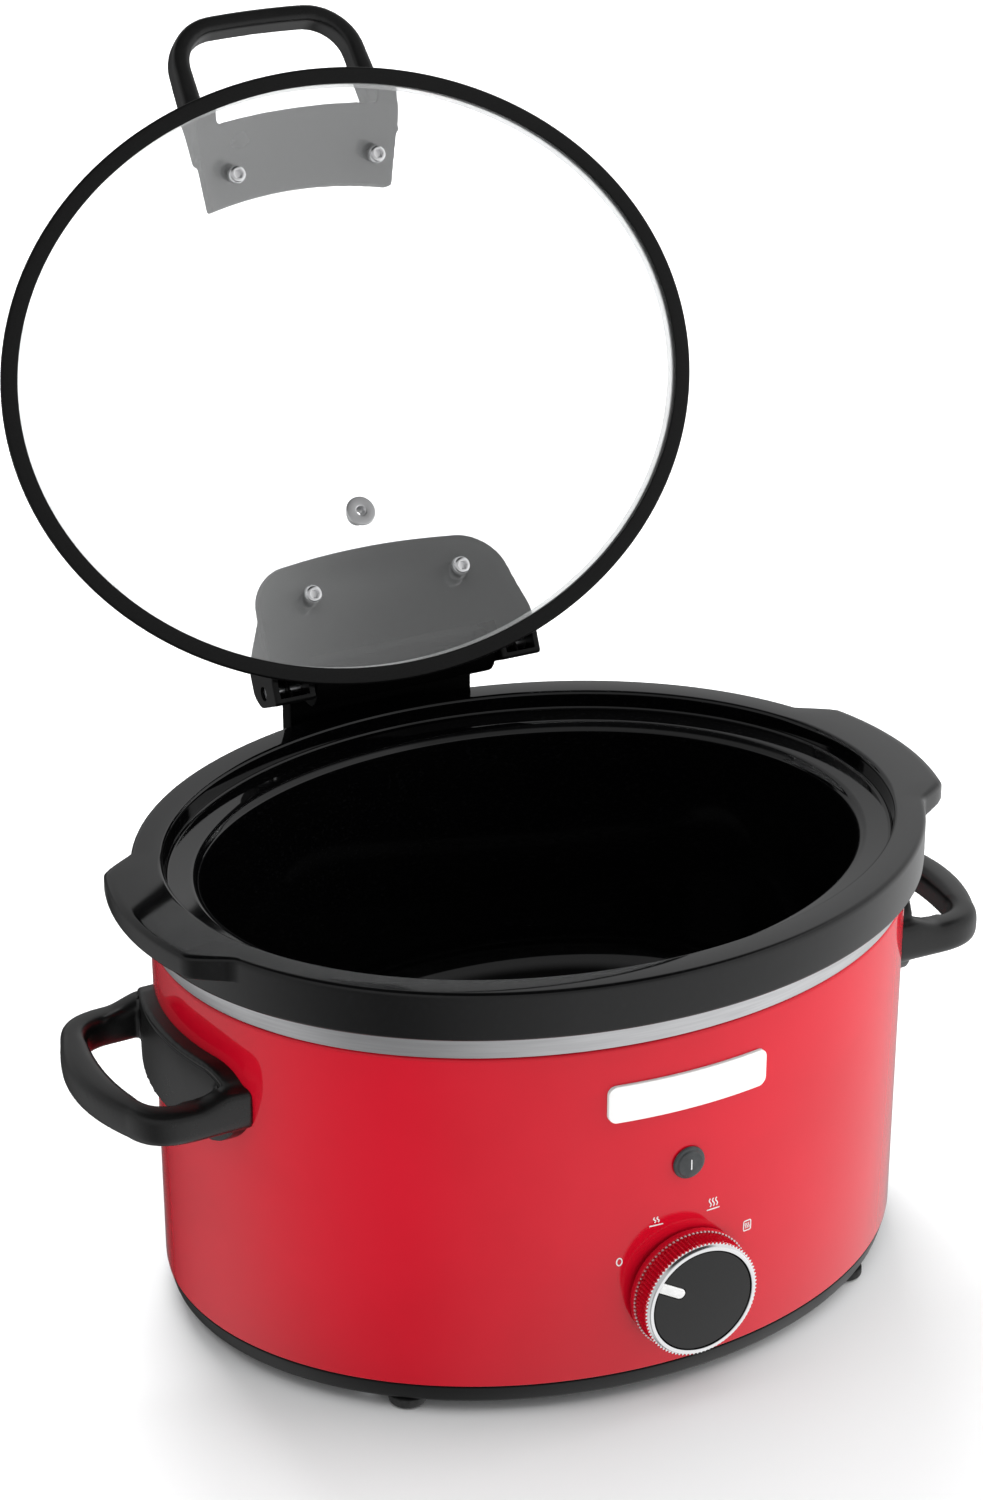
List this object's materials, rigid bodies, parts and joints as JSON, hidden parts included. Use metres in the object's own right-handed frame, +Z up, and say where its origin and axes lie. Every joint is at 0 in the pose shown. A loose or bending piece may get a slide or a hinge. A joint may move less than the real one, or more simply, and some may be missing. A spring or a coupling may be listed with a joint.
{
  "type": "slow cooker",
  "caption": "Oval electric slow cooker with a removable stoneware crock, a hinged glass lid that stands open on a post at the back, side handles and a heat dial on the front",
  "frame": {"origin": "on the worktop plane at the soles of the feet, under the middle of the bounding box with the lid open", "axes": "+Z up, -Y out of the front where the dial is, +X to the cooker's right as seen from the front, so the lid's hinge runs along X at the back"},
  "size_m": [0.368, 0.3738, 0.4265],
  "materials": {
    "red_paint": "gloss",
    "base_plastic": "satin",
    "black_plastic": "satin",
    "foot_rubber": "matte",
    "steel": "satin",
    "liner_aluminium": "satin",
    "chrome": "polished",
    "mica": "matte",
    "insulation_felt": "matte",
    "switch_nylon": "satin",
    "lamp_glass": "gloss",
    "lens_plastic": "gloss",
    "pointer_white": "satin",
    "badge_enamel": "satin",
    "glazed_stoneware": "gloss",
    "lid_glass": "gloss",
    "wire_brown": "satin",
    "wire_blue": "satin"
  },
  "bodies": {
    "base": {"housing": "red_paint", "base_tray": "base_plastic", "foot_front_left": "foot_rubber", "foot_front_right": "foot_rubber", "foot_rear_left": "foot_rubber", "foot_rear_right": "foot_rubber", "base_screw_1": "steel", "base_screw_2": "steel", "base_screw_3": "steel", "base_screw_4": "steel", "liner": "liner_aluminium", "heater_band": "mica", "heater_clamp_spring": "steel", "insulation_band": "insulation_felt", "tie_bolt": "steel", "tie_nut": "steel", "thermal_fuse": "steel", "fuse_clip": "liner_aluminium", "switch_body": "switch_nylon", "switch_bracket": "steel", "switch_nut": "steel", "neon_lamp": "lamp_glass", "indicator_lens": "lens_plastic", "lens_clip": "steel", "badge_plate": "badge_enamel", "side_handle_right": "black_plastic", "handle_screw_right_1": "steel", "handle_screw_right_2": "steel", "side_handle_left": "black_plastic", "handle_screw_left_1": "steel", "handle_screw_left_2": "steel", "post_socket": "black_plastic", "socket_screw_1": "steel", "socket_screw_2": "steel", "cord_gland": "foot_rubber", "terminal_block": "switch_nylon", "wire_switch": "wire_brown", "wire_heater": "wire_blue"},
    "knob": {"knob_skirt": "red_paint", "knob_bezel": "chrome", "knob_face": "black_plastic", "knob_pointer": "pointer_white", "knob_shaft": "steel"},
    "crock": {"crock": "glazed_stoneware"},
    "hinge_carrier": {"hinge_post": "black_plastic", "hinge_pin": "steel"},
    "lid": {"lid_glass": "lid_glass", "lid_ring": "black_plastic", "lid_handle": "black_plastic", "lid_handle_bolt_1": "chrome", "lid_handle_bolt_2": "chrome", "lid_bracket": "black_plastic", "lid_bracket_bolt_1": "chrome", "lid_bracket_bolt_2": "chrome", "vent_eyelet": "steel"}
  },
  "joints": [
    {"name": "lid_hinge", "type": "hinge", "parent": "hinge_carrier", "child": "lid", "pos_m": [0, 0.0579, 0.1942], "axis": [1, 0, 0], "range_deg": [0, 114.85]},
    {"name": "crock_lift", "type": "slide", "parent": "base", "child": "crock", "axis": [0, 0, 1], "range_m": [0, 0.16]},
    {"name": "lid_lift_off", "type": "slide", "parent": "base", "child": "hinge_carrier", "axis": [0, 0, 1], "range_m": [0, 0.32]},
    {"name": "knob_turn", "type": "hinge", "parent": "base", "child": "knob", "pos_m": [0, -0.1802, 0.0442], "axis": [0, 1, 0], "range_deg": [0, 119.2]}
  ],
  "couplings": [
    {"joint": "lid_lift_off", "follows": "crock_lift", "ratio": 2}
  ]
}
